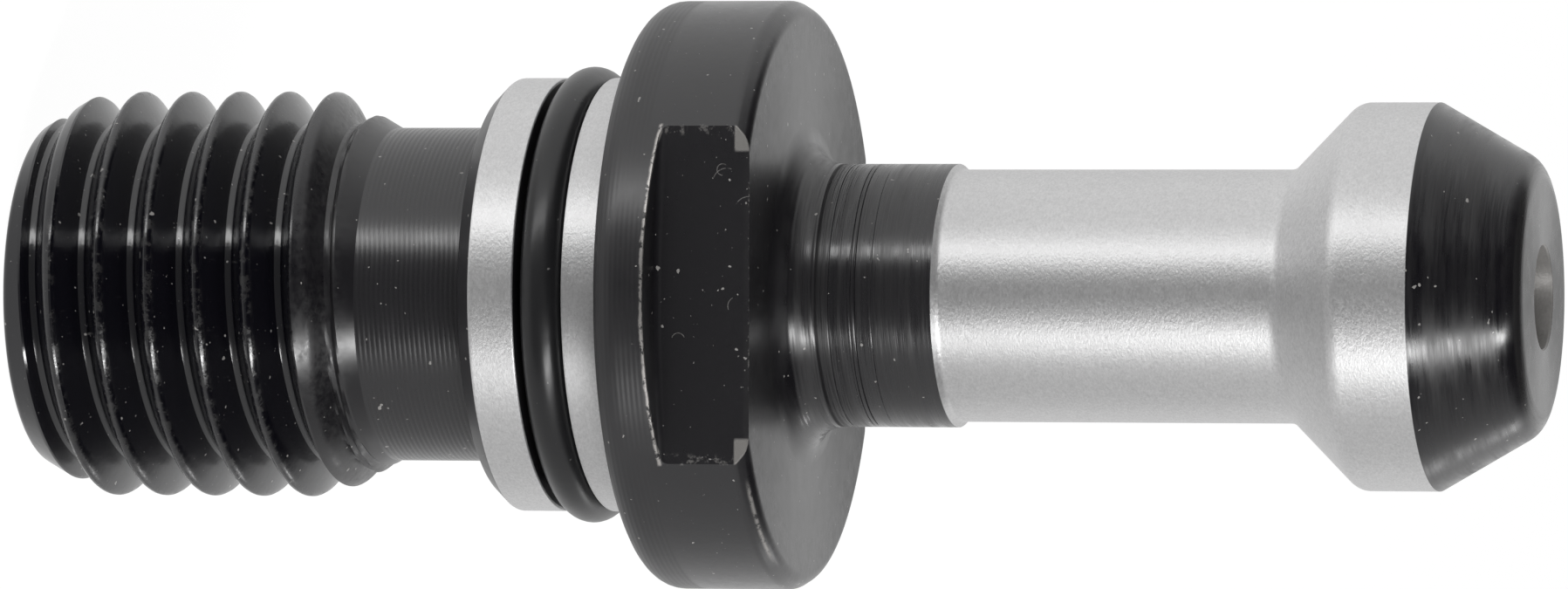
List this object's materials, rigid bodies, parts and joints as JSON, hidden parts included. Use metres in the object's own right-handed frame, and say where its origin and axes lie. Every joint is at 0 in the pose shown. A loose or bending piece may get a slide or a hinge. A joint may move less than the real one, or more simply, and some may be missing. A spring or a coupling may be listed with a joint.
{
  "type": "pull stud",
  "caption": "Turned steel retention stud with a threaded shank, ring-sealed pilot, flange with two wrench flats, slim neck and conical gripping head around a coolant bore.",
  "frame": {"origin": "centre of the threaded end face, which the stud stands on", "axes": "+Z along the stud's axis towards the gripping head; the two wrench flats face -Y and +Y"},
  "size_m": [0.023, 0.023, 0.06],
  "materials": {
    "steel": "black oxide as turned, with bright ground pilot, neck and gripping cone",
    "rubber": "smooth black nitrile rubber"
  },
  "bodies": {
    "root": {"stud": "steel", "o_ring": "rubber"}
  },
  "joints": []
}
